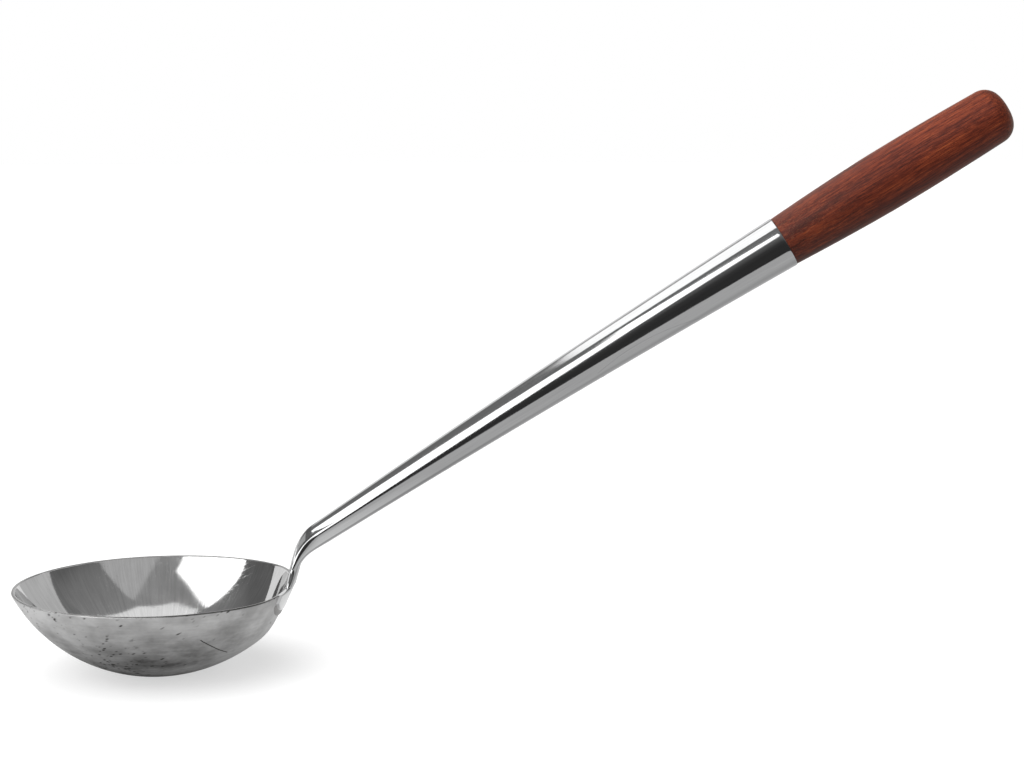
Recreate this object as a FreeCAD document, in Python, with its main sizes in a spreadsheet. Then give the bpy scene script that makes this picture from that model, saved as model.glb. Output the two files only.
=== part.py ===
import FreeCAD, Part
import os
from math import atan2, cos, radians, sin, sqrt
import Sketcher
from FreeCAD import Placement, Rotation, Vector

# A wok ladle: a round steel bowl, a rolled hollow shank and a turned wooden grip.
# Frame: +Z up, the bowl's rim is level, the handle rises along +X in the plane Y = 0,
# and the origin is the middle of the small flat under the bowl.

doc = FreeCAD.newDocument("Ladle")
sheet = doc.addObject("Spreadsheet::Sheet", "Sizes")

sizes = [
    # bowl
    ("rim_radius", 61.0, "outside radius of the round rim"),
    ("bowl_depth", 37.4, "from the rim down to the flat underneath"),
    ("bowl_wall", 1.4, "thickness of the bowl"),
    ("foot_radius", 7.5, "radius of the flat under the bowl"),
    # the part of the bowl's wall that is flattened to seat the tongue
    ("seat_inset", 4.6, "how far the flattened wall stands inside the round rim"),
    ("seat_lean", 24.2, "lean of the flattened wall away from upright, in degrees"),
    ("seat_radius", 110.0, "radius of the flattened wall, seen from above"),
    # shank, one rolled sheet
    ("shank_sheet", 1.0, "thickness of the sheet"),
    ("mouth_radius", 11.0, "outside radius at the mouth, where the grip enters"),
    ("waist_radius", 4.85, "outside radius where the bend ends"),
    ("shank_length", 229.5, "from the bend to the mouth, along the middle"),
    ("shank_rise", 33.3, "slope of the shank just above the bend, in degrees"),
    ("bow_radius", 6500.0, "radius of the slight bow over the shank's length"),
    ("bend_radius", 24.0, "radius of the bend at the neck"),
    # neck between the bend and the rim
    ("neck_length", 7.7, "straight part above the rim"),
    ("neck_lean", 15.0, "lean of the neck away from upright, in degrees"),
    ("neck_depth", 3.9, "outside size of the pinched neck, front to back"),
    ("neck_width", 12.6, "outside size of the pinched neck, side to side"),
    ("flare_depth", 3.5, "outside size front to back where it meets the rim"),
    ("flare_width", 17.0, "outside size side to side where it meets the rim"),
    ("neck_inset", 0.6, "how far the neck's middle stands inside the seat, at the rim"),
    # tongue and its weld
    ("tongue_half", 22.0, "half the width of the tongue"),
    ("tongue_drop", 11.4, "depth of the tongue below the rim, in the middle"),
    ("tongue_side", 4.0, "depth of the tongue below the rim, at its two sides"),
    ("weld_leg", 2.2, "width of the bead under the tongue"),
    ("weld_high", 0.6, "height of that bead"),
    ("seam_width", 0.8, "width of the weld along the shank's underside"),
    # grip, with heights along its axis from the shank's mouth
    ("grip_length", 105.2, "visible length"),
    ("grip_swell", 1.5, "how much thicker the straight middle stretch is than the mouth"),
    ("grip_step", 0.3, "how far the steel stands proud of the wood at the mouth"),
    ("swell_length", 45.0, "from the mouth to the straight middle stretch"),
    ("straight_length", 24.0, "length of the straight middle stretch"),
    ("end_taper", 0.75, "how much thinner the grip is where the rounding of the free end starts"),
    ("corner_radius", 7.5, "rounding of the free end"),
    ("dome_radius", 30.0, "radius of the slightly domed end face"),
    ("tenon_length", 34.0, "length of the hidden tenon"),
    ("tenon_gap", 0.15, "clearance between the tenon and the tube"),
    # retaining brad
    ("brad_radius", 0.9, "radius of the nail"),
    ("brad_length", 8.0, "length of the nail below its head"),
    ("brad_head", 1.7, "radius of the flat head"),
    ("head_high", 0.5, "thickness of the head"),
    ("head_proud", 0.2, "how far the head stands above the shank"),
    ("brad_back", 14.0, "from the mouth back to the nail"),
]
for row, (name, value, note) in enumerate(sizes, start=1):
    sheet.set("A%d" % row, name)
    sheet.set("B%d" % row, repr(value))
    sheet.set("C%d" % row, note)
    sheet.setAlias("B%d" % row, name)
doc.recompute()


def size(name):
    """The value of one named cell."""
    return float(sheet.get(name))


# ---- places worked out from the sizes -------------------------------------------------------

rim_z = size("bowl_depth")
long_cut = 400.0            # longer than anything it has to reach across
least_oval = 0.0001         # an oval needs its two half sizes to differ
upward = Vector(0, 0, 1)

# the rim's circle and the foot's circle lie on one ball, whose middle is ball_z above the foot
ball_rule = "((Sizes.rim_radius^2 + Sizes.bowl_depth^2 - Sizes.foot_radius^2) / (2 * Sizes.bowl_depth))"
ball_z = (size("rim_radius") ** 2 + rim_z ** 2 - size("foot_radius") ** 2) / (2 * rim_z)

lean = radians(size("seat_lean"))
seat_top = Vector(size("rim_radius") - size("seat_inset"), 0, rim_z)   # middle of the seat, at the rim
seat_up = Vector(sin(lean), 0, cos(lean))           # up along the seat
seat_out = Vector(cos(lean), 0, -sin(lean))         # square to the seat, outwards

# the shank's middle line: a straight neck, a round bend and a very slightly bowed run
neck_angle = radians(90.0 - size("neck_lean"))
bend_turn = neck_angle - radians(size("shank_rise"))
bend_start = size("neck_length")
bend_end = bend_start + size("bend_radius") * bend_turn
mouth_at = bend_end + size("shank_length")


def along_arc(start, angle, radius, length):
    """Point and angle after a length of a falling arc in the XZ plane."""
    end = angle - length / radius
    return start + Vector(sin(angle) - sin(end), 0, cos(end) - cos(angle)) * radius, end


def middle_line(at):
    """Point and direction of the shank's middle line, at a distance from the rim."""
    foot = seat_top - Vector(size("neck_inset"), 0, 0)
    angle = neck_angle
    point = foot + Vector(cos(angle), 0, sin(angle)) * min(at, bend_start)
    if at > bend_start:
        point, angle = along_arc(point, angle, size("bend_radius"), min(at, bend_end) - bend_start)
    if at > bend_end:
        point, angle = along_arc(point, angle, size("bow_radius"), at - bend_end)
    return point, Vector(cos(angle), 0, sin(angle))


def ease(share):
    """Smooth step from 0 to 1."""
    share = max(0.0, min(1.0, share))
    return share * share * (3.0 - 2.0 * share)


def half_section(at):
    """Half the outside depth and half the outside width of the shank."""
    taper = max(0.0, at - bend_end) / size("shank_length")
    round_radius = size("waist_radius") + (size("mouth_radius") - size("waist_radius")) * taper
    pinch = 1.0 - ease((at - bend_start) / (bend_end - bend_start))
    flare = 1.0 - ease(at / bend_start)
    depth = round_radius + (size("neck_depth") / 2 - round_radius) * pinch
    width = round_radius + (size("neck_width") / 2 - round_radius) * pinch
    depth += (size("flare_depth") - size("neck_depth")) / 2 * flare
    width += (size("flare_width") - size("neck_width")) / 2 * flare
    return depth, width


mouth, grip_way = middle_line(mouth_at)
at_mouth = Placement(mouth, Rotation(upward, grip_way))
brad_point = middle_line(mouth_at - size("brad_back"))[0]
brad_surface = half_section(mouth_at - size("brad_back"))[0]
bore_radius = size("mouth_radius") - size("shank_sheet")
bore_taper = (size("mouth_radius") - size("waist_radius")) / size("shank_length")

# ---- bowl -----------------------------------------------------------------------------------


def bound(kind, name, **rules):
    """A Part primitive with its sizes bound to the sheet."""
    thing = doc.addObject(kind, name)
    for prop, rule in rules.items():
        thing.setExpression(prop, rule)
    return thing


def joined(kind, name, *shapes):
    """A Part boolean of the shapes."""
    thing = doc.addObject(kind, name)
    if kind == "Part::Cut":
        thing.Base, thing.Tool = shapes
    else:
        thing.Shapes = list(shapes)
    return thing


def bowl_block(name, inset_rule, bottom_z, height_rule):
    """A ball, flattened at the seat by a large leaning barrel and levelled by a block."""
    ball = bound("Part::Sphere", name + "Ball",
                 Radius="sqrt(Sizes.foot_radius^2 + %s^2)%s" % (ball_rule, inset_rule))
    ball.Placement = Placement(Vector(0, 0, ball_z), Rotation())
    barrel = bound("Part::Cylinder", name + "Barrel", Radius="Sizes.seat_radius" + inset_rule)
    barrel.Height = long_cut
    barrel_middle = seat_top - seat_out * size("seat_radius")
    barrel.Placement = Placement(barrel_middle - seat_up * (long_cut / 2), Rotation(upward, seat_up))
    block = bound("Part::Box", name + "Level", Length="4 * Sizes.rim_radius",
                  Width="4 * Sizes.rim_radius", Height=height_rule)
    half = 2 * size("rim_radius")
    block.Placement = Placement(Vector(-half, -half, bottom_z), Rotation())
    return joined("Part::MultiCommon", name, ball, barrel, block)


bowl_full = bowl_block("BowlFull", "", 0.0, "Sizes.bowl_depth")
bowl_hollow = bowl_block("BowlHollow", " - Sizes.bowl_wall", size("bowl_wall"), "Sizes.bowl_depth")
bowl = joined("Part::Cut", "Bowl", bowl_full, bowl_hollow)
bowl.Label = "bowl"

# ---- retaining brad -------------------------------------------------------------------------


def turned_body(name, sketch_maker, place):
    """A body turned about its own Z axis from a sketched half profile."""
    body = doc.addObject("PartDesign::Body", name)
    sketch = body.newObject("Sketcher::SketchObject", name + "Profile")
    plane = [item for item in body.Origin.OriginFeatures if item.Role == "XZ_Plane"][0]
    sketch.AttachmentSupport = [(plane, "")]
    sketch.MapMode = "FlatFace"
    sketch_maker(sketch)
    turned = body.newObject("PartDesign::Revolution", name + "Turned")
    turned.Profile = sketch
    turned.ReferenceAxis = (sketch, ["V_Axis"])
    turned.Angle = 360.0
    body.Placement = place
    return body


def hold(sketch, geometry, corner, radius_rule, height_rule):
    """Bind one end of a sketch line or arc to a radius and a height."""
    point = sketch.getPoint(geometry, corner)
    for kind, value, rule in (("DistanceX", point.x, radius_rule), ("DistanceY", point.y, height_rule)):
        if rule:
            at = sketch.addConstraint(Sketcher.Constraint(kind, -1, 1, geometry, corner, value))
            sketch.setExpression("Constraints[%d]" % at, rule)


def brad_profile(sketch):
    """Half outline of the nail: its point end is flat, and its head is a low disc."""
    top = brad_surface + size("head_proud")
    head = top - size("head_high")
    tip = head - size("brad_length")
    nail = size("brad_radius")
    wide = size("brad_head")
    corners = [(0, tip), (nail, tip), (nail, head), (wide, head), (wide, top), (0, top)]
    points = [Vector(radius, height, 0) for radius, height in corners]
    sketch.addGeometry([Part.LineSegment(a, b) for a, b in zip(points, points[1:] + points[:1])])
    for k in range(len(points)):
        sketch.addConstraint(Sketcher.Constraint("Coincident", k, 2, (k + 1) % len(points), 1))
    for k in (1, 3):
        sketch.addConstraint(Sketcher.Constraint("Vertical", k))
    for k in (0, 2, 4):
        sketch.addConstraint(Sketcher.Constraint("Horizontal", k))
    sketch.addConstraint(Sketcher.Constraint("PointOnObject", 0, 1, -2))
    sketch.addConstraint(Sketcher.Constraint("PointOnObject", 4, 2, -2))
    at_brad = ("(Sizes.mouth_radius - (Sizes.mouth_radius - Sizes.waist_radius)"
               " * Sizes.brad_back / Sizes.shank_length + Sizes.head_proud)")
    hold(sketch, 1, 2, "Sizes.brad_radius", at_brad + " - Sizes.head_high")
    hold(sketch, 3, 2, "Sizes.brad_head", at_brad)
    hold(sketch, 0, 2, "", at_brad + " - Sizes.head_high - Sizes.brad_length")


brad = turned_body("Brad", brad_profile, Placement(brad_point, Rotation(upward, Vector(0, 1, 0))))
brad.Label = "retaining_brad"

# ---- grip -----------------------------------------------------------------------------------


def arc_between(middle, start, end):
    """Anticlockwise arc about a middle, from one point to another."""
    radius = (start - middle).Length
    angles = [atan2(p.y - middle.y, p.x - middle.x) for p in (start, end)]
    return Part.ArcOfCircle(Part.Circle(middle, upward, radius), *angles)


def grip_profile(sketch):
    """Half outline of the grip: tenon, shoulder, swell, straight stretch, tail, corner and dome."""
    full = size("mouth_radius") + size("grip_swell")
    waist = size("mouth_radius") - size("grip_step")
    root = bore_radius - size("tenon_gap")
    swell = size("swell_length")
    straight = swell + size("straight_length")
    tenon = size("tenon_length")
    tenon_tip = Vector(root - bore_taper * tenon, -tenon, 0)
    # circles that touch each other: swell and tail are tangent to the straight stretch
    drop = full - waist
    swell_radius = (drop ** 2 + swell ** 2) / (2 * drop)
    swell_middle = Vector(full - swell_radius, swell, 0)
    dome_middle = Vector(0, size("grip_length") - size("dome_radius"), 0)
    corner_x = full - size("end_taper") - size("corner_radius")
    corner_y = dome_middle.y + sqrt((size("dome_radius") - size("corner_radius")) ** 2 - corner_x ** 2)
    corner_middle = Vector(corner_x, corner_y, 0)
    side = full - corner_x
    rise = corner_y - straight
    spare = side - size("corner_radius")
    tail_radius = (side ** 2 + rise ** 2 - size("corner_radius") ** 2) / (2 * spare)
    tail_middle = Vector(full - tail_radius, straight, 0)
    tail_end = tail_middle + (corner_middle - tail_middle).normalize() * tail_radius
    dome_start = dome_middle + (corner_middle - dome_middle).normalize() * size("dome_radius")
    tip = Vector(0, size("grip_length"), 0)
    start = Vector(0, -tenon, 0)
    sketch.addGeometry([
        Part.LineSegment(start, tenon_tip),
        Part.LineSegment(tenon_tip, Vector(root, 0, 0)),
        Part.LineSegment(Vector(root, 0, 0), Vector(waist, 0, 0)),
        arc_between(swell_middle, Vector(waist, 0, 0), Vector(full, swell, 0)),
        Part.LineSegment(Vector(full, swell, 0), Vector(full, straight, 0)),
        arc_between(tail_middle, Vector(full, straight, 0), tail_end),
        arc_between(corner_middle, tail_end, dome_start),
        arc_between(dome_middle, dome_start, tip),
        Part.LineSegment(tip, start),
    ])
    for k in (0, 1, 2, 7, 8):
        sketch.addConstraint(Sketcher.Constraint("Coincident", k, 2, (k + 1) % 9, 1))
    for k in (3, 4, 5, 6):
        sketch.addConstraint(Sketcher.Constraint("Tangent", k, 2, k + 1, 1))
    for k in (4, 8):
        sketch.addConstraint(Sketcher.Constraint("Vertical", k))
    for k in (0, 2):
        sketch.addConstraint(Sketcher.Constraint("Horizontal", k))
    sketch.addConstraint(Sketcher.Constraint("PointOnObject", 0, 1, -2))
    sketch.addConstraint(Sketcher.Constraint("PointOnObject", 7, 3, -2))
    bore = "Sizes.mouth_radius - Sizes.shank_sheet - Sizes.tenon_gap"
    taper = "(Sizes.mouth_radius - Sizes.waist_radius) / Sizes.shank_length"
    hold(sketch, 0, 2, "%s - %s * Sizes.tenon_length" % (bore, taper), "-Sizes.tenon_length")
    hold(sketch, 1, 2, bore, "0")
    hold(sketch, 2, 2, "Sizes.mouth_radius - Sizes.grip_step", "")
    widest = "(Sizes.mouth_radius + Sizes.grip_swell)"
    hold(sketch, 3, 2, widest, "Sizes.swell_length")
    hold(sketch, 4, 2, "", "Sizes.swell_length + Sizes.straight_length")
    hold(sketch, 7, 2, "", "Sizes.grip_length")
    hold(sketch, 6, 3, widest + " - Sizes.end_taper - Sizes.corner_radius", "")
    for geometry, name in ((6, "corner_radius"), (7, "dome_radius")):
        at = sketch.addConstraint(Sketcher.Constraint("Radius", geometry, size(name)))
        sketch.setExpression("Constraints[%d]" % at, "Sizes." + name)


turned_grip = turned_body("TurnedGrip", grip_profile, at_mouth)
grip = joined("Part::Cut", "Grip", turned_grip, brad)
grip.Label = "grip"
doc.recompute()

# ---- shank ----------------------------------------------------------------------------------

# everything in front of the bowl's middle and lower than the rim
under_rim = Part.makeBox(long_cut, long_cut, rim_z, Vector(0, -long_cut / 2, 0))


def oval(at, inset):
    """Closed oval of the shank, square to its middle line, pulled in by an inset."""
    point, way = middle_line(at)
    depth, width = [half - inset for half in half_section(at)]
    width = max(width, depth + least_oval)
    across = Vector(way.z, 0, -way.x)
    shape = Part.Ellipse(point + Vector(0, width, 0), point + across * depth, point)
    return Part.Wire([shape.toShape()])


def shank_solid(inset):
    """The shank's outline, pulled in by an inset, from just under the rim up to the mouth."""
    below = size("shank_sheet")
    neck_steps = 12
    run_steps = 6
    places = [-below + (bend_end + below) * k / neck_steps for k in range(neck_steps)]
    places += [bend_end + size("shank_length") * k / run_steps for k in range(run_steps + 1)]
    return Part.makeLoft([oval(at, inset) for at in places], True, True)


def seat_point(side, up):
    """Point on the flat plane that touches the seat in the middle of the rim."""
    return seat_top + Vector(0, side, 0) + seat_up * up


def fan_prism(grow):
    """Prism through the seat with the tongue's outline, its lower edge moved out by grow."""
    half = size("tongue_half")
    fall = size("tongue_drop") - size("tongue_side")
    fan_radius = (half ** 2 + fall ** 2) / (2 * fall)
    middle_up = fan_radius - size("tongue_drop")
    radius = fan_radius + grow
    edge_up = middle_up - sqrt(radius ** 2 - half ** 2)
    high = 2 * size("tongue_drop")
    left_top, right_top = seat_point(-half, high), seat_point(half, high)
    left_low, right_low = seat_point(-half, edge_up), seat_point(half, edge_up)
    lowest = seat_point(0, middle_up - radius)
    outline = Part.Wire([
        Part.LineSegment(left_top, left_low).toShape(),
        Part.Arc(left_low, lowest, right_low).toShape(),
        Part.LineSegment(right_low, right_top).toShape(),
        Part.LineSegment(right_top, left_top).toShape(),
    ])
    reach = seat_out * size("tongue_half")
    face = Part.Face(outline)
    face.translate(reach * -1)
    return face.extrude(reach * 2)


def seat_shell(thick):
    """Skin of a given thickness on the outside of the leaning barrel, up to the rim."""
    foot = seat_top - seat_out * size("seat_radius") - seat_up * (long_cut / 2)
    outer = Part.makeCylinder(size("seat_radius") + thick, long_cut, foot, seat_up)
    inner = Part.makeCylinder(size("seat_radius"), long_cut, foot, seat_up)
    return outer.cut(inner).common(under_rim)


shank_full = shank_solid(0.0).cut(under_rim)
shank_bore = shank_solid(size("shank_sheet")).cut(under_rim)
rolled = shank_full.cut(shank_bore)

# strip under the middle line, where the two edges of the rolled sheet meet
seam_steps = 12
seam_line = [middle_line(bend_end + size("shank_length") * k / seam_steps) for k in range(seam_steps + 1)]
deep = 2 * size("mouth_radius")
upper = [point for point, way in seam_line]
lower = [point + Vector(way.z, 0, -way.x) * deep for point, way in seam_line]
strip = Part.Face(Part.makePolygon(upper + lower[::-1] + upper[:1]))
strip.translate(Vector(0, -size("seam_width") / 2, 0))
seam_block = strip.extrude(Vector(0, size("seam_width"), 0))

tongue = seat_shell(size("shank_sheet")).common(fan_prism(0.0))
whole_shank = rolled.cut(seam_block).fuse(tongue).cut(brad.Shape)
bead = seat_shell(size("weld_high")).common(fan_prism(size("weld_leg"))).cut(fan_prism(0.0))


def solid_node(name, label, shape):
    """A feature that holds the one solid of a computed shape."""
    if len(shape.Solids) != 1:
        raise ValueError("%s came out as %d solids" % (label, len(shape.Solids)))
    thing = doc.addObject("Part::Feature", name)
    thing.Shape = shape.Solids[0]
    thing.Label = label
    return thing


shank = solid_node("Shank", "shank", whole_shank)
seam_weld = solid_node("SeamWeld", "seam_weld", rolled.common(seam_block))
tongue_weld = solid_node("TongueWeld", "tongue_weld", bead)

# ---- check and write ------------------------------------------------------------------------

doc.recompute()
for thing in doc.Objects:
    if "Invalid" in thing.State or "Error" in thing.State:
        raise ValueError("%s failed to recompute" % thing.Label)
os.makedirs("parts", exist_ok=True)
for node in (bowl, shank, seam_weld, tongue_weld, grip, brad):
    if node.Shape.isNull() or not node.Shape.isValid():
        raise ValueError("%s has no valid shape" % node.Label)
    node.Shape.exportStep("parts/%s.step" % node.Label)
    print(node.Label, len(node.Shape.Solids), round(node.Shape.Volume, 1), node.Shape.BoundBox)
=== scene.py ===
from math import cos, radians, sin, sqrt

import bpy
import numpy as np
from mathutils import Matrix, Vector


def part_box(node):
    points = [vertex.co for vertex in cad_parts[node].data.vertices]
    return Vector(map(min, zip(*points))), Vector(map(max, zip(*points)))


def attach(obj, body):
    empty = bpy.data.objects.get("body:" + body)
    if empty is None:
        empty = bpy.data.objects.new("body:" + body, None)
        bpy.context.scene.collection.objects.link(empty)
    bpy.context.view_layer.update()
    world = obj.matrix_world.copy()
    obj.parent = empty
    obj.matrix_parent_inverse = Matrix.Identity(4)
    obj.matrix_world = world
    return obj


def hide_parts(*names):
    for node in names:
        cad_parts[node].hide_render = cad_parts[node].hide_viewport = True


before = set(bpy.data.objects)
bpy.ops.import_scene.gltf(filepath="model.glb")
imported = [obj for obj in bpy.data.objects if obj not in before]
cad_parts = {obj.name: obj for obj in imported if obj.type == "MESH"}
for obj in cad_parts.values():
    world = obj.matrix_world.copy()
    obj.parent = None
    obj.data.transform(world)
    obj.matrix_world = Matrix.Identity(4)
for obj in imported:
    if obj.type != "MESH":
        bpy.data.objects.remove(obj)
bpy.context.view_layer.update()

# A wok ladle: pressed steel bowl, rolled steel shank, turned and stained wooden grip.
# Metres. +Z up, the rim is level, the handle rises along +X in the plane Y = 0.

mm = 0.001
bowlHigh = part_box("bowl")[1]


def gridQuads(rows, columns, wrap):
    # quads of a grid stored row by row; wrap joins the last column to the first
    across = columns if wrap else columns - 1
    row, column = np.meshgrid(np.arange(rows - 1), np.arange(across), indexing="ij")
    after = (column + 1) % columns
    quads = [row * columns + column, row * columns + after,
             (row + 1) * columns + after, (row + 1) * columns + column]
    return np.stack(quads, -1).reshape(-1, 4)


def closedTube(rings):
    # skin over a stack of closed rings, with a fan from a middle point over each open end
    rows, columns, _ = rings.shape
    points = np.vstack([rings.reshape(-1, 3), rings[0].mean(0), rings[-1].mean(0)])
    first = rows * columns
    around = np.arange(columns)
    after = (around + 1) % columns
    base = (rows - 1) * columns
    startFan = np.stack([after, around, np.full(columns, first)], -1)
    endFan = np.stack([base + around, base + after, np.full(columns, first + 1)], -1)
    return points, gridQuads(rows, columns, True), np.vstack([startFan, endFan])


def closedPlate(outer, inner):
    # two grids of the same size, back to back, with a strip all round between their edges
    rows, columns, _ = outer.shape
    index = np.arange(rows * columns).reshape(rows, columns)
    back = rows * columns
    quads = gridQuads(rows, columns, False)
    rim = np.concatenate([index[0, :-1], index[:-1, -1], index[-1, :0:-1], index[:0:-1, 0]])
    nextRim = np.roll(rim, -1)
    strip = np.stack([nextRim, rim, rim + back, nextRim + back], -1)
    points = np.vstack([outer.reshape(-1, 3), inner.reshape(-1, 3)])
    return points, np.vstack([quads, quads[:, ::-1] + back, strip]), np.zeros((0, 3), int)


def enclosed(points, quads, fans):
    # six times the volume inside: sum of a . (b x c) over the triangles
    triangles = np.vstack([quads[:, :3], quads[:, [0, 2, 3]], fans])
    a, b, c = points[triangles[:, 0]], points[triangles[:, 1]], points[triangles[:, 2]]
    return np.einsum("ij,ij->i", a, np.cross(b, c)).sum()


def makePiece(name, shape, material, nodes, marks=None):
    # a smooth closed mesh that stands for the CAD nodes and keeps the named point attributes
    points, quads, fans = shape
    if enclosed(points, quads, fans) < 0:
        quads, fans = quads[:, ::-1], fans[:, ::-1]
    mesh = bpy.data.meshes.new(name)
    mesh.from_pydata(points.tolist(), [], quads.tolist() + fans.tolist())
    for label, values in (marks or {}).items():
        flat = np.asarray(values, np.float32)
        kind, field = ("FLOAT", "value") if flat.ndim == 1 else ("FLOAT_VECTOR", "vector")
        mesh.attributes.new(label, kind, "POINT").data.foreach_set(field, flat.ravel())
    mesh.polygons.foreach_set("use_smooth", np.ones(len(mesh.polygons), bool))
    mesh.materials.append(material)
    mesh.update()
    piece = bpy.data.objects.new(name, mesh)
    bpy.context.scene.collection.objects.link(piece)
    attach(piece, "root")
    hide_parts(*nodes)
    return piece


def smoothStep(share):
    # 3s^2 - 2s^3 between 0 and 1
    share = np.clip(share, 0, 1)
    return share * share * (3 - 2 * share)


def softShare(count):
    # shares from 0 to 1, closer together near both ends: (1 - cos(pi k)) / 2
    return (1 - np.cos(np.pi * np.linspace(0, 1, count))) / 2


class Wire:
    # a socket that takes part in sums and products; each one adds a Math node
    def __init__(self, recipe, socket):
        self.recipe, self.socket = recipe, socket

    def math(self, operation, first, second=0.0):
        return self.recipe.node("ShaderNodeMath", {"operation": operation}, {0: first, 1: second})

    def __add__(self, other):
        return self.math("ADD", self, other)

    def __radd__(self, other):
        return self.math("ADD", other, self)

    def __sub__(self, other):
        return self.math("SUBTRACT", self, other)

    def __rsub__(self, other):
        return self.math("SUBTRACT", other, self)

    def __mul__(self, other):
        return self.math("MULTIPLY", self, other)

    def __rmul__(self, other):
        return self.math("MULTIPLY", other, self)

    def __truediv__(self, other):
        return self.math("DIVIDE", self, other)

    def under(self, limit):
        return self.math("LESS_THAN", self, limit)

    def size(self):
        return self.math("ABSOLUTE", self)


class Recipe:
    # the node tree of one material or world
    def __init__(self, owner):
        owner.use_nodes = True
        self.owner, self.tree = owner, owner.node_tree
        self.tree.nodes.clear()

    def node(self, kind, settings=None, inputs=None, output=0):
        made = self.tree.nodes.new(kind)
        for key, value in (settings or {}).items():
            if key == "stops":
                self.fillRamp(made.color_ramp, value)
            else:
                setattr(made, key, value)
        for key, value in (inputs or {}).items():
            if isinstance(value, Wire):
                self.tree.links.new(value.socket, made.inputs[key])
            else:
                made.inputs[key].default_value = value
        return Wire(self, made.outputs[output]) if made.outputs else made

    def fillRamp(self, ramp, stops):
        while len(ramp.elements) < len(stops):
            ramp.elements.new(0.5)
        for element, (place, colour) in zip(ramp.elements, stops):
            element.position = place
            element.color = (*colour, 1) if isinstance(colour, tuple) else (colour, colour, colour, 1)

    def objectPlace(self):
        return self.node("ShaderNodeTexCoord", output=3)

    def mark(self, label, output=2):
        return self.node("ShaderNodeAttribute", {"attribute_name": label}, output=output)

    def mapped(self, place, scale=(1, 1, 1), turn=(0, 0, 0), shift=(0, 0, 0)):
        return self.node("ShaderNodeMapping", {}, {0: place, 1: shift, 2: turn, 3: scale})

    def noise(self, place, scale, detail=3.0, roughness=0.55):
        return self.node("ShaderNodeTexNoise", {}, {
            "Vector": place, "Scale": scale, "Detail": detail, "Roughness": roughness})

    def ramp(self, factor, low, high, fromValue=0.0, toValue=1.0):
        # straight line from low to high, held at both ends
        return self.node("ShaderNodeMapRange", {"clamp": True},
                         {0: factor, 1: low, 2: high, 3: fromValue, 4: toValue})

    def tint(self, factor, first, second):
        return self.node("ShaderNodeMix", {"data_type": "RGBA"},
                         {0: factor, 6: first, 7: second}, output=2)

    def parts(self, vector):
        return [self.node("ShaderNodeSeparateXYZ", {}, {0: vector}, output=k) for k in range(3)]

    def bump(self, height, strength, distance):
        return self.node("ShaderNodeBump", {}, {
            "Height": height, "Strength": strength, "Distance": distance})

    def surface(self, **inputs):
        # socket names are written with a low line for each space
        sockets = {name.replace("_", " "): value for name, value in inputs.items()}
        shader = self.node("ShaderNodeBsdfPrincipled", {}, sockets)
        self.node("ShaderNodeOutputMaterial", {}, {0: shader})
        return self.owner


def grey(value, warm=0.0):
    # warm adds to the red and takes from the blue
    return (value * (1 + warm), value, value * (1 - warm), 1)


# the bowl: a thin ball's wall with a flat foot, pressed flat on the handle side
bowl = {
    "wall": 1.4 * mm,
    "footRadius": 7.5 * mm,
    "footSoftness": 0.25 * mm,      # how gently the flat runs into the ball
    "seatInset": 4.6 * mm,
    "seatLean": radians(24.2),
    "seatRadius": 110 * mm,
    "seatSoftness": 3.2 * mm,       # half width of the bend where the flattened wall starts
    "rimRound": 0.5 * mm,
    "rimShape": 2.6,
    "fuller": 0.9 * mm,             # extra fullness low down on the handle side
    "wobble": 0.05 * mm,
    "columns": 256,
    "wallRows": 84,
    "rimRows": 13,
    "insideTones": (0.50, 0.72),
    "outsideTones": ((0.56, 0.004), (0.72, 0.002)),     # brightness and warmth
    "stainTone": (0.075, 0.03),
    "insideRough": 0.030,
    "outsideRough": 0.27,
    "pitSizes": ((270.0, 0.33, 0.72, 0.75), (560.0, 0.37, 0.685, 0.45)),    # scale, reach, least, slant
    # heights over which the painted shade low on the outside fades out
    "lowShadeHeights": (4 * mm, 30 * mm),
    "reliefDepth": 0.08 * mm,
}
# one long scratch low on the near side: its lower end in X and Z, its direction and its size
scratchCut = {
    "start": (25.3 * mm, 24.8 * mm),
    "way": (0.65, -0.76),
    "length": 12.2 * mm,
    "half": 0.24 * mm,
    "stray": 1.6 * mm,
}
rimHeight = bowlHigh.z
rimRadius = bowlHigh.y
seatTop = np.array([rimRadius - bowl["seatInset"], 0, rimHeight])
ballMiddle = (rimRadius ** 2 + rimHeight ** 2 - bowl["footRadius"] ** 2) / (2 * rimHeight)
ballRadius = sqrt(ballMiddle ** 2 + bowl["footRadius"] ** 2)


def softMax(first, second, softness):
    # mean of the two plus half the root of their squared difference and the squared softness
    gap = first - second
    return (first + second + np.sqrt(gap * gap + softness * softness)) / 2


def seatPlace(side, height, standOff):
    # X of the leaning round seat, pushed outwards by standOff
    radius = bowl["seatRadius"]
    out = np.sqrt((radius + standOff) ** 2 - side ** 2) - radius
    lean = bowl["seatLean"]
    return seatTop[0] + (out + (height - rimHeight) * sin(lean)) / cos(lean)


def flattened(x, side, height, inward):
    # X pulled back to the seat where it would pass it, eased over the softness
    past = x - seatPlace(side, height, -inward)
    soft = bowl["seatSoftness"]
    pull = np.where(past > soft, past, np.where(past < -soft, 0, (past + soft) ** 2 / (4 * soft)))
    return x - pull


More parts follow.
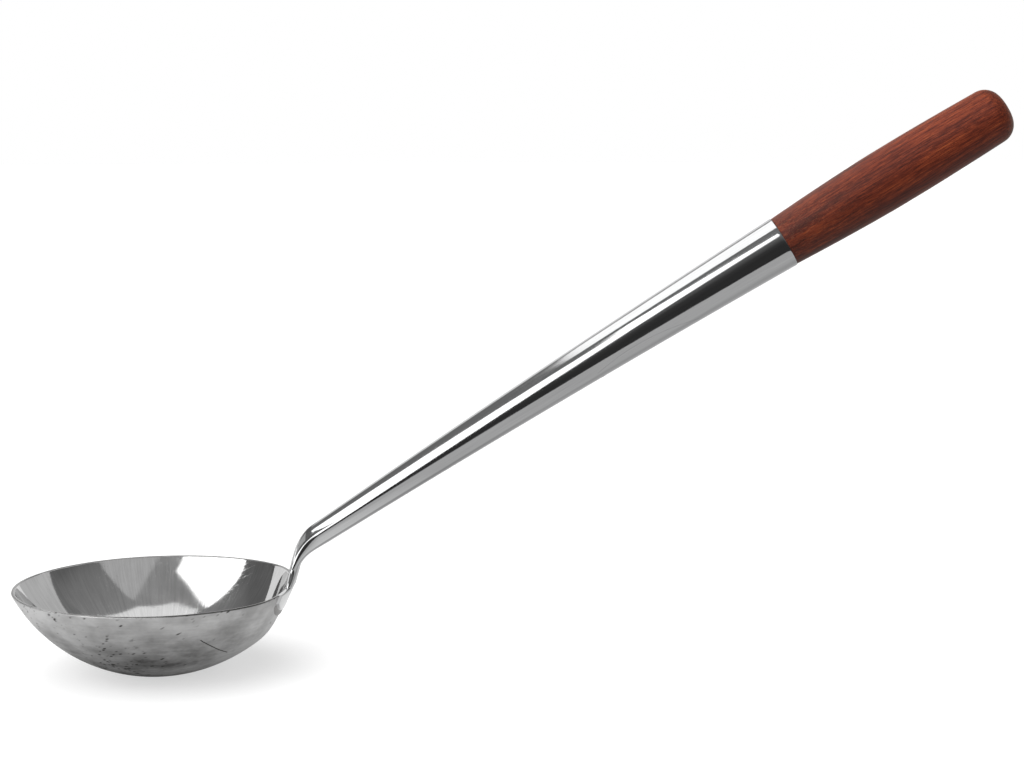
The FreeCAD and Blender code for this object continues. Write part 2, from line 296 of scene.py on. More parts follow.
def bowlShape():
    # profile from the middle of the inside, up over the rim and down to the foot, turned about Z
    wall, soft = bowl["wall"], bowl["footSoftness"]
    share = softShare(bowl["wallRows"])[1:]
    edge = rimHeight - bowl["rimRound"]
    innerBall = ballRadius - wall
    innerReach = sqrt(innerBall ** 2 - (ballMiddle - edge) ** 2)
    outerReach = sqrt(ballRadius ** 2 - (ballMiddle - edge) ** 2)
    insideR = innerReach * np.sin(share * np.pi / 2)
    insideZ = softMax(ballMiddle - np.sqrt(innerBall ** 2 - insideR ** 2), wall, soft)
    across = np.linspace(0, 1, bowl["rimRows"])[1:-1]
    rimR = innerReach + (outerReach - innerReach) * across
    power = bowl["rimShape"]
    rimZ = edge + bowl["rimRound"] * (1 - np.abs(2 * across - 1) ** power) ** (1 / power)
    outsideR = (outerReach * np.sin(share * np.pi / 2))[::-1]
    outsideZ = softMax(ballMiddle - np.sqrt(ballRadius ** 2 - outsideR ** 2), 0 * outsideR, soft)
    radius = np.concatenate([insideR, rimR, outsideR])[:, None]
    height = np.concatenate([insideZ, rimZ, outsideZ])[:, None]
    inward = np.concatenate([np.full(insideR.size, wall), wall * (1 - across),
                             np.zeros(outsideR.size)])[:, None]
    outside = np.concatenate([np.zeros(insideR.size), across, np.ones(outsideR.size)])[:, None]
    angle = np.linspace(0, 2 * np.pi, bowl["columns"], endpoint=False)[None, :]
    level = height / rimHeight
    # slow waves left by the press, none at the rim or the foot
    waves = np.sin(3 * angle + 7 * level) * np.sin(5 * angle + 1.3) + np.sin(2 * angle - 9 * level + 0.6)
    radius = radius + bowl["wobble"] * waves * np.clip(level * (1 - level) * 4, 0, 1)
    x, y = radius * np.cos(angle), radius * np.sin(angle)
    x = x + bowl["fuller"] * 4 * level * (1 - level) * np.clip(x / rimRadius, 0, 1)
    z = height + 0 * x
    x = flattened(x, y, z, inward)
    shape = closedTube(np.stack([x, y, z], -1))
    mark = np.concatenate([(outside + 0 * x).ravel(), [0, 1]])
    return shape, mark


def bowlSteel():
    # bright, lightly scuffed inside; satin, smudged and pitted outside
    recipe = Recipe(bpy.data.materials.new("bowlSteel"))
    place = recipe.objectPlace()
    placeX, placeY, height = recipe.parts(place)
    skin = recipe.mark("outside")
    outside = recipe.ramp(skin, 0.35, 0.75)
    inside = 1 - outside
    cloud = recipe.noise(place, 38.0, 4.0, 0.6)
    broadPlace = recipe.mapped(place, (1, 1, 1.5), (0.3, 0.5, 0.2), (0.31, 0.1, 0))
    broad = recipe.noise(broadPlace, 27.0, 5.0, 0.62)
    smudge = recipe.ramp(broad, 0.47, 0.66)
    # thin rays that run up the inside from the middle: in the colour they are painted reflection, the radial
    # streaks that the spun finish shows in light; they also roughen and ridge the skin
    angle = recipe.node("ShaderNodeMath", {"operation": "ARCTAN2"}, {0: placeY, 1: placeX})
    rayPlace = recipe.node("ShaderNodeCombineXYZ", {}, {0: angle * 46.0, 1: height * 60.0, 2: 0.4})
    rays = recipe.noise(rayPlace, 1.0, 5.0, 0.7)
    ringPlace = recipe.node("ShaderNodeCombineXYZ", {}, {0: angle * 0.9, 1: height * 2600.0, 2: 3.0})
    rings = recipe.noise(ringPlace, 1.0, 2.0)
    # long scuffs that lean across the inside
    scuffPlace = recipe.mapped(recipe.mapped(place, turn=(0.5, 0.3, 0.5)), (30, 900, 900))
    scuffAndShadeLine = recipe.ramp(recipe.noise(scuffPlace, 1.0, 3.0, 0.6), 0.60, 0.70) * recipe.ramp(broad, 0.45, 0.62)
    # pits: short slanting cells with ragged edges, kept only where a slow noise gathers them
    ragged = recipe.noise(place, 900.0, 2.0)
    gatherPlace = recipe.mapped(place, (1, 1, 1.2), (0, 0, 0), (0.07, 0.02, 0.11))
    gather = recipe.noise(gatherPlace, 34.0, 4.0, 0.65)
    pit = 0.0
    for pitScale, reach, least, slant in bowl["pitSizes"]:
        pitPlace = recipe.mapped(recipe.mapped(place, turn=(0.2, slant, 0.1)), (0.42, 1.0, 1.3))
        cells = recipe.node("ShaderNodeTexVoronoi", {}, {"Vector": pitPlace, "Scale": pitScale})
        pick = recipe.node("ShaderNodeTexVoronoi", {}, {"Vector": pitPlace, "Scale": pitScale}, output=1)
        chance = recipe.node("ShaderNodeSeparateColor", {}, {0: pick})
        kept = recipe.ramp(gather + 0.26 * chance, least, least + 0.06)
        pit = recipe.ramp(cells + (ragged - 0.5) * 0.30, reach * 0.3, reach, 1.0, 0.0) * kept + pit
    pit = recipe.ramp(pit, 0.0, 1.0) * outside
    # long slanting drags left by scouring
    drag = recipe.noise(recipe.mapped(place, (60, 60, 700), (0.0, 0.5, 0.0)), 1.0, 4.0, 0.65)
    # the scratch is a thin slanting plane cut into the wall, and strays a little from its line
    sideX, sideZ = placeX - scratchCut["start"][0], height - scratchCut["start"][1]
    wayX, wayZ = scratchCut["way"]
    along = sideX * wayX + sideZ * wayZ
    off = sideZ * wayX - sideX * wayZ + (cloud - 0.5) * scratchCut["stray"]
    scratch = (off.size().under(scratchCut["half"]) * along.under(scratchCut["length"])
               * (1 - along.under(0.0)) * placeY.under(0.0) * outside)
    # stain film and smudges in blotches, made darker low down than by the rim: the darkening low down is
    # painted shade
    low = recipe.ramp(height, *bowl["lowShadeHeights"], 1.35, 0.62)
    film = recipe.ramp(0.55 * cloud + 0.45 * drag, 0.36, 0.60, 0.30, 0.0)
    # the rounded rim is painted darker: painted shade along the rim
    rimShadeLine = recipe.ramp(skin, 0.02, 0.15) * recipe.ramp(skin, 0.85, 0.98, 1.0, 0.0)
    stain = (smudge * 0.60 + film) * low * outside
    dark = recipe.ramp(stain + pit * 0.85 + scratch * 0.9 + rimShadeLine * 0.75, 0.0, 0.97)
    metal = recipe.tint(cloud, *[grey(*tone) for tone in bowl["outsideTones"]])
    # the inside is painted lighter and darker along the rays: painted reflection
    polished = recipe.tint(recipe.ramp(0.6 * rays + 0.4 * cloud, 0.35, 0.68),
                           *[grey(tone) for tone in bowl["insideTones"]])
    stained = recipe.tint(dark, recipe.tint(inside * 0.8, metal, polished), grey(*bowl["stainTone"]))
    marks = 0.035 * rays + 0.05 * recipe.ramp(cloud, 0.5, 0.8) + 0.10 * scuffAndShadeLine
    wear = 0.12 * cloud + 0.12 * drag + 0.12 * smudge + 0.20 * pit
    rough = inside * (bowl["insideRough"] + marks) + outside * (bowl["outsideRough"] + wear)
    relief = (inside * (0.12 * rays + 0.04 * rings - 0.12 * scuffAndShadeLine)
              + outside * (0.25 * rings + 0.5 * cloud + 0.3 * drag) - 2.4 * pit - 1.6 * scratch)
    normal = recipe.bump(relief, 0.35, bowl["reliefDepth"])
    return recipe.surface(Base_Color=stained, Metallic=1.0, Roughness=rough, Normal=normal)


bowlMesh, bowlOutside = bowlShape()
makePiece("bowl_pressed", bowlMesh, bowlSteel(), ["bowl"], {"outside": bowlOutside})
print("bowl made")


# the shank: a tapering tube of rolled sheet, from the pinched neck at the rim to the open mouth
shank = {
    "sheet": 1.0 * mm,
    "mouthRadius": 11.0 * mm,
    "waistRadius": 4.85 * mm,
    "length": 229.5 * mm,
    "rise": radians(33.3),
    "bowRadius": 6.5,
    "bendRadius": 24 * mm,
    "neckLength": 7.7 * mm,
    "neckLean": radians(15),
    "neckHalf": (1.95 * mm, 6.3 * mm),
    "flareHalf": (1.75 * mm, 8.5 * mm),
    "inset": 0.6 * mm,
    "squareness": 0.9,              # how much the pinched neck's section leaves an oval
    "lip": 0.3 * mm,
    "boreDepth": 36 * mm,
    "nickAt": 137 * mm,             # a small dent low on the near side, from the bend
    "nickDepth": 0.30 * mm,
    "nickSize": 0.9 * mm,
    "nickShare": (0.985, 0.17),     # down and towards the near side, in tube radii
    "columns": 160,
    "rootDepth": 1.2 * mm,          # how far the neck reaches into the bowl's wall
    "rimGap": 0.03 * mm,            # the most that it may hang under the rim
    "neckRows": 90,
    "runRows": 200,
    "boreRows": 24,
    "tones": ((0.44, -0.006), (0.65, -0.004)),      # brightness and warmth
    "rough": 0.052,
    "reliefDepth": 0.02 * mm,
    "shadeLineTop": 179 * mm,           # where the thin curved painted shade line is highest
    "shadeLineMiddle": 186 * mm,
    "shadeLineReach": 25 * mm,
    "shadeLineDown": 3.8 * mm,
    "shadeLineCurve": 5.4,
    "shadeLineHalf": 0.11 * mm,
}
neckAngle = radians(90) - shank["neckLean"]
bendEnd = shank["neckLength"] + shank["bendRadius"] * (neckAngle - shank["rise"])
mouthAt = bendEnd + shank["length"]


def arcStep(x, z, angle, radius, length):
    # end of a falling arc: X grows by r (sin a - sin b), Z by r (cos b - cos a), with b = a - length / r
    end = angle - length / radius
    return x + (np.sin(angle) - np.sin(end)) * radius, z + (np.cos(end) - np.cos(angle)) * radius, end


def middleLine(at):
    # point and slope of the middle line: straight neck, round bend, slightly bowed run
    at = np.asarray(at, float)
    straight = np.minimum(at, shank["neckLength"])
    x = seatTop[0] - shank["inset"] + np.cos(neckAngle) * straight
    z = rimHeight + np.sin(neckAngle) * straight
    angle = np.full_like(at, neckAngle)
    bend = np.clip(at - shank["neckLength"], 0, bendEnd - shank["neckLength"])
    x, z, angle = arcStep(x, z, angle, shank["bendRadius"], bend)
    return arcStep(x, z, angle, shank["bowRadius"], np.maximum(at - bendEnd, 0))


def halfSizes(at):
    # half depth and half width: a round taper, pinched at the neck and flared at the rim
    at = np.asarray(at, float)
    taper = np.maximum(0, at - bendEnd) / shank["length"]
    full = shank["waistRadius"] + (shank["mouthRadius"] - shank["waistRadius"]) * taper
    neck = shank["neckLength"]
    pinch = 1 - smoothStep((at - neck) / (bendEnd - neck))
    flare = 1 - smoothStep(at / neck)
    return [full + (shank["neckHalf"][k] - full) * pinch
            + (shank["flareHalf"][k] - shank["neckHalf"][k]) * flare for k in (0, 1)], pinch


def shankRings(at, inset):
    # ovals square to the middle line; depth runs along (sin a, -cos a), width along Y
    at = np.atleast_1d(np.asarray(at, float))
    x, z, angle = middleLine(at)
    (depth, width), pinch = halfSizes(at)
    depth, width = (depth - inset)[:, None], (width - inset)[:, None]
    turn = np.linspace(0, 2 * np.pi, shank["columns"], endpoint=False)[None, :]
    power = 2 / (2 + shank["squareness"] * pinch[:, None])
    down = np.sign(np.cos(turn)) * np.abs(np.cos(turn)) ** power * depth
    side = np.sign(np.sin(turn)) * np.abs(np.sin(turn)) ** power * width
    ring = np.stack([x[:, None] + np.sin(angle)[:, None] * down, side,
                     z[:, None] - np.cos(angle)[:, None] * down], -1)
    lay = np.stack([at[:, None] + 0 * side, side, down], -1)
    return ring, lay


def shankShape():
    # outer skin from the rim to the mouth, round the lip, and back down the bore
    lip, sheet = shank["lip"], shank["sheet"]
    neckRows = np.linspace(-shank["rootDepth"], bendEnd, shank["neckRows"])
    runRows = np.linspace(bendEnd, mouthAt - lip, shank["runRows"])[1:]
    outer, outerLay = shankRings(np.concatenate([neckRows, runRows]), 0.0)
    quarter = np.linspace(0, np.pi / 2, 6)[1:]
    lipParts = [shankRings(mouthAt - lip * (1 - sin(q)), lip * (1 - cos(q))) for q in quarter]
    lipParts += [shankRings(mouthAt - lip * (1 - cos(q)), sheet - lip + lip * sin(q)) for q in quarter]
    boreRows = mouthAt - np.linspace(lip, shank["boreDepth"], shank["boreRows"])[1:]
    bore, boreLay = shankRings(boreRows, sheet)
    rings = np.concatenate([outer] + [ring for ring, lay in lipParts] + [bore])
    lay = np.concatenate([outerLay] + [lay for ring, lay in lipParts] + [boreLay])
    # nothing hangs under the rim: those points are brought up to it
    rings[..., 2] = np.maximum(rings[..., 2], rimHeight - shank["rimGap"])
    # the nick: a small round dent, d exp(-r^2 / s^2), just on the near side of the lowest line
    nickX, nickZ, nickAngle = middleLine(bendEnd + shank["nickAt"])
    (tubeRadius, _), _ = halfSizes(bendEnd + shank["nickAt"])
    downShare, sideShare = shank["nickShare"]
    place = np.array([nickX + np.sin(nickAngle) * tubeRadius * downShare, -tubeRadius * sideShare,
                      nickZ - np.cos(nickAngle) * tubeRadius * downShare])
    awaySquared = ((rings - place) ** 2).sum(-1)
    dent = shank["nickDepth"] * np.exp(-awaySquared / shank["nickSize"] ** 2)
    rings[..., 0] -= dent * np.sin(nickAngle)
    rings[..., 2] += dent * np.cos(nickAngle)
    shape = closedTube(rings)
    ends = np.stack([lay[0].mean(0), lay[-1].mean(0)])
    return shape, np.vstack([lay.reshape(-1, 3), ends])


def shankSteel():
    # mirror polish drawn along the tube: faint long lines, a few smears, and one thin curved dark line that is
    # painted shade
    recipe = Recipe(bpy.data.materials.new("shankSteel"))
    lay = recipe.mark("lay", 1)
    lines = recipe.noise(recipe.mapped(lay, (14, 2400, 2400)), 1.0, 3.0, 0.6)
    bands = recipe.noise(recipe.mapped(lay, (9, 420, 420)), 1.0, 2.0)
    smear = recipe.noise(recipe.mapped(lay, (1, 2.2, 2.2), (0, 0, 0.2)), 60.0, 4.0, 0.6)
    patch = recipe.ramp(smear, 0.58, 0.85)
    metal = recipe.tint(0.5 * bands + 0.5 * lines, *[grey(*tone) for tone in shank["tones"]])
    # the painted shade line is low on the near side, a parabola that runs up from the nick and down again: it
    # stands for the edge of a shadow reflected in the tube, and also roughens and sinks the skin a little
    alongTube, across, down = recipe.parts(lay)
    top = alongTube - shank["shadeLineTop"]
    off = down - shank["shadeLineDown"] - shank["shadeLineCurve"] * (top * top)
    scuffAndShadeLine = off.size().under(shank["shadeLineHalf"]) * across.under(0.0)
    scuffAndShadeLine = scuffAndShadeLine * (alongTube - shank["shadeLineMiddle"]).size().under(shank["shadeLineReach"])
    # painted shade: the line is tinted dark grey
    metal = recipe.tint(scuffAndShadeLine * 0.30, metal, grey(0.25))
    rough = (shank["rough"] + 0.045 * lines + 0.045 * recipe.ramp(bands, 0.45, 0.70)
             + 0.03 * patch + 0.10 * scuffAndShadeLine)
    normal = recipe.bump(0.9 * lines + 0.6 * bands - 0.6 * scuffAndShadeLine, 0.22, shank["reliefDepth"])
    return recipe.surface(Base_Color=metal, Metallic=1.0, Roughness=rough, Normal=normal)


polish = shankSteel()
shankMesh, shankLay = shankShape()
makePiece("shank_tube", shankMesh, polish, ["shank"], {"lay": shankLay})
print("shank made")


# the tongue: the shank's flattened end, a fan of plate on the outside of the bowl
tongue = {
    "half": 22 * mm,
    "drop": 11.4 * mm,              # along the seat, in the middle
    "side": 4.0 * mm,               # along the seat, at the two ends
    "thick": 0.97 * mm,
    "rounding": 0.85 * mm,
    "sunk": 0.9 * mm,
    "rimGap": 0.15 * mm,            # keeps the top edge a little thick
    "columns": 120,
    "rows": 40,
}
fall = tongue["drop"] - tongue["side"]
fanRadius = (tongue["half"] ** 2 + fall ** 2) / (2 * fall)


def fanDrop(side):
    # lower edge of the fan: an arc through its two low corners and its lowest point
    return tongue["drop"] - fanRadius + np.sqrt(fanRadius ** 2 - side ** 2)


def seatPoint(side, drop, standOff):
    # point on the seat, a drop down its slope, standing off it
    height = rimHeight - drop * cos(bowl["seatLean"])
    return np.stack([seatPlace(side, height, standOff), side + 0 * height, height], -1)


def tongueShape():
    # thickness rises from the edge as a quarter circle: t = T sqrt(1 - (1 - d / r)^2)
    side = ((2 * softShare(tongue["columns"]) - 1) * tongue["half"])[None, :]
    drop = softShare(tongue["rows"])[:, None] * fanDrop(side)
    side = side + 0 * drop
    edge = np.minimum(np.minimum(fanDrop(side) - drop, drop + tongue["rimGap"]), tongue["half"] - np.abs(side))
    near = np.clip(edge / tongue["rounding"], 0, 1)
    thick = tongue["thick"] * np.sqrt(1 - (1 - near) ** 2)
    inner = seatPoint(side, drop, -tongue["sunk"])
    outer = seatPoint(side, drop, thick)
    # nothing stands above the rim
    outer[..., 2] = np.minimum(outer[..., 2], rimHeight)
    lay = np.stack([-drop, side, thick], -1)
    return closedPlate(outer, inner), np.vstack([lay.reshape(-1, 3)] * 2)


tongueMesh, tongueLay = tongueShape()
makePiece("tongue_plate", tongueMesh, polish, ["shank"], {"lay": tongueLay})


tongueBead = {
    "half": 1.5 * mm,
    "high": 0.62 * mm,
    "sunk": 0.6 * mm,
    "below": 0.75 * mm,             # its middle, under the fan's lower edge
    "endGap": 0.4 * mm,
    "ripple": 0.05,
    "pitch": 1.3 * mm,
    "fade": 5.0,                    # length of the thinning ends, in half widths
    "rows": 260,
    "columns": 24,
    "tones": ((0.27, 0.03), (0.50, 0.01)),      # brightness and warmth
    "reliefDepth": 0.05 * mm,
}


def beadRings(points, out, across, bead):
    # half-oval bead carried along points: out is up from the wall, across is along it;
    # the height is h (1 + ripple sin(2 pi run / pitch)) and the ends thin out as a square root
    run = np.concatenate([[0], np.cumsum(np.linalg.norm(np.diff(points, axis=0), axis=1))])
    turn = np.linspace(0, 2 * np.pi, bead["columns"], endpoint=False)[None, :]
    nearEnd = np.minimum(run, run[-1] - run) / (bead["fade"] * bead["half"])
    ends = np.sqrt(np.clip(nearEnd, 0.01, 1))[:, None]
    beat = 1 + bead["ripple"] * np.sin(run * 2 * np.pi / bead["pitch"])[:, None]
    up = np.where(np.sin(turn) > 0, bead["high"] * beat, bead["sunk"]) * np.sin(turn) * ends
    flat = bead["half"] * np.cos(turn) * ends
    return points[:, None, :] + up[..., None] * out[:, None, :] + flat[..., None] * across[:, None, :]


def tongueWeldShape():
    # ground bead along the fan's lower edge, partly over the plate and sloping out to the wall
    reach = tongue["half"] - tongueBead["endGap"]
    side = np.linspace(-reach, reach, tongueBead["rows"])
    points = seatPoint(side, fanDrop(side) + tongueBead["below"], 0)
    along = np.gradient(points, axis=0)
    along /= np.linalg.norm(along, axis=1, keepdims=True)
    lean = bowl["seatLean"]
    out = np.tile(np.array([cos(lean), 0, -sin(lean)]), (side.size, 1))
    out[:, 1] = side / bowl["seatRadius"]
    out /= np.linalg.norm(out, axis=1, keepdims=True)
    return closedTube(beadRings(points, out, np.cross(along, out), tongueBead))


def weldSteel():
    # ground weld metal: duller, with cross grinding marks and a trace of heat colour
    recipe = Recipe(bpy.data.materials.new("weldSteel"))
    place = recipe.objectPlace()
    cloud = recipe.noise(place, 300.0, 4.0, 0.65)
    grind = recipe.noise(recipe.mapped(place, (500, 3200, 900), (0.2, 0.4, 0)), 1.0, 2.0)
    metal = recipe.tint(cloud, *[grey(*tone) for tone in tongueBead["tones"]])
    rough = 0.28 + 0.22 * cloud + 0.08 * grind
    normal = recipe.bump(0.7 * cloud + 0.5 * grind, 0.5, tongueBead["reliefDepth"])
    return recipe.surface(Base_Color=metal, Metallic=1.0, Roughness=rough, Normal=normal)


makePiece("tongue_bead", tongueWeldShape(), weldSteel(), ["tongue_weld"])


seamBead = {
    "half": 0.42 * mm,
    "high": 0.13 * mm,
    "sunk": 0.5 * mm,
    "below": 0.03 * mm,             # its middle, under the tube's skin
    "endGap": 0.6 * mm,
    "ripple": 0.22,
    "pitch": 0.9 * mm,
    "fade": 1.2,
    "rows": 900,
    "columns": 14,
}


def seamShape():
    # narrow rolled-in bead along the underside of the shank, from the bend to the mouth
    at = np.linspace(bendEnd, mouthAt - seamBead["endGap"], seamBead["rows"])
    x, z, angle = middleLine(at)
    (depth, _), _ = halfSizes(at)
    out = np.stack([np.sin(angle), 0 * at, -np.cos(angle)], -1)
    points = np.stack([x, 0 * at, z], -1) + out * (depth - seamBead["below"])[:, None]
    across = np.tile(np.array([0.0, 1.0, 0.0]), (at.size, 1))
    rings = beadRings(points, out, across, seamBead)
    lay = np.stack([at[:, None] + 0 * rings[..., 1], rings[..., 1], 0 * rings[..., 1]], -1)
    shape = closedTube(rings)
    return shape, np.vstack([lay.reshape(-1, 3), lay[0].mean(0), lay[-1].mean(0)])


seamMesh, seamLay = seamShape()
makePiece("seam_bead", seamMesh, polish, ["seam_weld"], {"lay": seamLay})
print("tongue and welds made")


# the grip: turned wood on the shank's axis, with a round tenon in the open mouth
grip = {
    "length": 105.2 * mm,
    "tenon": 34 * mm,
    "tenonGap": 0.15 * mm,
    "mouthRadius": 10.68 * mm,
    "shoulder": 0.25 * mm,
    "fullRadius": 12.5 * mm,
    "swellLength": 48 * mm,
    "swellShape": 1.5,
    "tailStart": 60 * mm,
    "tailShape": 1.5,
    "cornerRadius": 7.5 * mm,
    "domeRadius": 30 * mm,
    "cornerMiddle": 4.25 * mm,      # from the axis
    "poleRadius": 0.2 * mm,         # the last ring, closed by a fan
    "tenonRows": 12,
    "bodyRows": 110,
    "cornerRows": 34,
    "domeRows": 10,
    "columns": 144,
    "stain": [(0.38, (0.036, 0.0054, 0.0028)), (0.47, (0.090, 0.0130, 0.0050)),
              (0.55, (0.180, 0.0300, 0.0090)), (0.66, (0.320, 0.0740, 0.0190))],
    "poreColour": (0.020, 0.0050, 0.0035, 1),
    "wornColour": (0.30, 0.150, 0.085, 1),
    "endColour": (0.050, 0.0110, 0.0060, 1),
    "handled": (8 * mm, 62 * mm),   # darker before the first place, not after the second
    "wornSpecks": (2 * mm, 46 * mm),
    "endGrain": (97 * mm, 104.6 * mm),
    "reliefDepth": 0.06 * mm,
}
mouthX, mouthZ, gripSlope = [float(v) for v in middleLine(mouthAt)]


def gripShape():
    # profile of radius against place along the axis, turned about it: tenon, shoulder, a body that
    # swells as R - d (1 - t / L)^1.5 and falls again to the end, a round corner and a low dome
    taper = (shank["mouthRadius"] - shank["waistRadius"]) / shank["length"]
    tenonT = np.linspace(-grip["tenon"], 0, grip["tenonRows"])
    tenonR = shank["mouthRadius"] - shank["sheet"] - grip["tenonGap"] + taper * tenonT
    quarter = np.linspace(0, np.pi / 2, 6)
    shoulderT = grip["shoulder"] * (1 - np.cos(quarter))
    shoulderR = grip["mouthRadius"] - grip["shoulder"] * (1 - np.sin(quarter))
    cornerT0 = grip["length"] - grip["domeRadius"] + sqrt(
        (grip["domeRadius"] - grip["cornerRadius"]) ** 2 - grip["cornerMiddle"] ** 2)
    bodyT = np.linspace(grip["shoulder"], cornerT0, grip["bodyRows"])[1:]
    swell = np.clip(1 - bodyT / grip["swellLength"], 0, 1) ** grip["swellShape"]
    tail = np.clip((bodyT - grip["tailStart"]) / (cornerT0 - grip["tailStart"]), 0, 1) ** grip["tailShape"]
    startDrop = grip["fullRadius"] - grip["mouthRadius"]
    bodyR = grip["fullRadius"] - startDrop * swell - (
        grip["fullRadius"] - grip["cornerMiddle"] - grip["cornerRadius"]) * tail
    domeTurn = np.arcsin(grip["cornerMiddle"] / (grip["domeRadius"] - grip["cornerRadius"]))
    corner = np.linspace(np.pi / 2, domeTurn, grip["cornerRows"])[1:]
    cornerR = grip["cornerMiddle"] + grip["cornerRadius"] * np.sin(corner)
    cornerT = cornerT0 + grip["cornerRadius"] * np.cos(corner)
    domeR = np.linspace(cornerR[-1], grip["poleRadius"], grip["domeRows"])[1:]
    domeT = grip["length"] - grip["domeRadius"] + np.sqrt(grip["domeRadius"] ** 2 - domeR ** 2)
    radius = np.concatenate([tenonR, shoulderR, bodyR, cornerR, domeR])[:, None]
    along = np.concatenate([tenonT, shoulderT, bodyT, cornerT, domeT])[:, None]
    angle = np.linspace(0, 2 * np.pi, grip["columns"], endpoint=False)[None, :]
    side, down = radius * np.sin(angle), radius * np.cos(angle)
    along = along + 0 * side
    x = mouthX + along * cos(gripSlope) + down * sin(gripSlope)
    z = mouthZ + along * sin(gripSlope) - down * cos(gripSlope)
    lay = np.stack([along, side, down], -1)
    shape = closedTube(np.stack([x, side, z], -1))
    return shape, np.vstack([lay.reshape(-1, 3), lay[0].mean(0), lay[-1].mean(0)])


def gripWood():
    # stained hardwood: long soft streaks, short dark pores, a satin skin
    recipe = Recipe(bpy.data.materials.new("gripWood"))
    lay = recipe.mark("lay", 1)
    bend = recipe.noise(lay, 22.0, 2.0)
    wavy = recipe.node("ShaderNodeVectorMath", {"operation": "MULTIPLY_ADD"}, {
        0: recipe.node("ShaderNodeCombineXYZ", {}, {0: 0.0, 1: bend, 2: bend}),
        1: (0, 1.6 * mm, 1.6 * mm), 2: lay})
    streak = recipe.noise(recipe.mapped(wavy, (48, 1150, 1150)), 1.0, 5.0, 0.62)
    fibre = recipe.noise(recipe.mapped(wavy, (210, 3400, 3400)), 1.0, 3.0, 0.6)
    broad = recipe.noise(recipe.mapped(wavy, (16, 170, 170)), 1.0, 3.0, 0.5)
    cloud = recipe.noise(lay, 95.0, 3.0, 0.55)
    fleck = recipe.noise(recipe.mapped(lay, (900, 1700, 1700)), 1.0, 2.0, 0.6)
    pore = recipe.node("ShaderNodeTexVoronoi", {"feature": "F1"},
                       {"Vector": recipe.mapped(wavy, (230, 1900, 1900)), "Scale": 1.0})
    pores = recipe.ramp(pore, 0.14, 0.32, 1.0, 0.0) * recipe.ramp(cloud, 0.42, 0.62)
    # the near end by the steel is a little darker and speckled, from handling
    alongAxis = recipe.parts(lay)[0]
    handled = recipe.ramp(alongAxis, *grip["handled"], 1.0, 0.0)
    grit = recipe.noise(recipe.mapped(lay, (2600, 3000, 3000)), 1.0, 2.0, 0.6)
    shade = streak * 0.38 + fibre * 0.38 + broad * 0.26 + fleck * 0.12 * handled - 0.01 - 0.09 * handled
    stain = recipe.node("ShaderNodeValToRGB", {"stops": grip["stain"]}, {0: shade})
    speckle = recipe.ramp(fleck, 0.56, 0.70) * (0.15 + 0.35 * handled) + recipe.ramp(grit, 0.50, 0.66) * handled
    wood = recipe.tint(pores * 0.55 + speckle * 0.40, stain, grip["poreColour"])
    # pale worn specks by the steel
    worn = recipe.ramp(grit, 0.46, 0.32) * recipe.ramp(alongAxis, *grip["wornSpecks"], 0.30, 0.0)
    wood = recipe.tint(worn, wood, grip["wornColour"])
    # end grain drinks more stain
    endGrain = recipe.ramp(alongAxis, *grip["endGrain"])
    wood = recipe.tint(endGrain * 0.45, wood, grip["endColour"])
    rough = 0.42 + 0.12 * fibre + 0.10 * pores + 0.06 * cloud
    normal = recipe.bump(0.5 * fibre + 0.35 * streak - 0.8 * pores, 0.30, grip["reliefDepth"])
    return recipe.surface(Base_Color=wood, Roughness=rough, Normal=normal, Specular_IOR_Level=0.24,
                          Sheen_Weight=0.16, Sheen_Roughness=0.35, Sheen_Tint=(1.0, 0.76, 0.58, 1),
                          Coat_Weight=0.05, Coat_Roughness=0.32)


gripMesh, gripLay = gripShape()
makePiece("grip_turned", gripMesh, gripWood(), ["grip"], {"lay": gripLay})
print("grip made")


# the brad: a short nail through the shank into the tenon, on the far side
brad = {
    "back": 14 * mm,                # from the mouth
    "shaft": 0.9 * mm,
    "length": 8 * mm,
    "head": 1.7 * mm,
    "proud": 0.2 * mm,
    "crown": 0.16 * mm,
    "edgeRound": 0.15 * mm,
    "headThick": 0.5 * mm,
    "undercut": 0.05 * mm,
    "tip": (0.3 * mm, 0.4 * mm),    # radius and length of the point
    "columns": 40,
    "tones": ((0.38, 0.01), (0.58, 0.0)),       # brightness and warmth
    "rough": 0.22,
}


def bradShape():
    # a nail turned about Y: shaft, underside of the head, rounded edge and a low crown
    middleX, middleZ, _ = [float(v) for v in middleLine(mouthAt - brad["back"])]
    (_, halfWidth), _ = halfSizes(mouthAt - brad["back"])
    top = float(halfWidth) + brad["proud"]
    tipRadius, tipLength = brad["tip"]
    shaftEnd = top - brad["length"]
    edge = np.linspace(0, np.pi / 2, 7)
    edgeR = brad["head"] - brad["edgeRound"] * (1 - np.cos(edge))
    edgeHeight = top - brad["crown"] - brad["edgeRound"] * (1 - np.sin(edge))
    edgeHeight[0] = top - brad["headThick"]
    crownR = np.linspace(1, 0.03, 9)[1:] * (brad["head"] - brad["edgeRound"])
    crownHeight = top - brad["crown"] * (crownR / brad["head"]) ** 2
    radius = np.concatenate([[tipRadius, brad["shaft"], brad["shaft"]], edgeR, crownR])[:, None]
    height = np.concatenate([[shaftEnd - tipLength, shaftEnd, top - brad["headThick"] - brad["undercut"]],
                             edgeHeight, crownHeight])[:, None]
    turn = np.linspace(0, 2 * np.pi, brad["columns"], endpoint=False)[None, :]
    return closedTube(np.stack([middleX + radius * np.cos(turn), height + 0 * turn,
                                middleZ + radius * np.sin(turn)], -1))


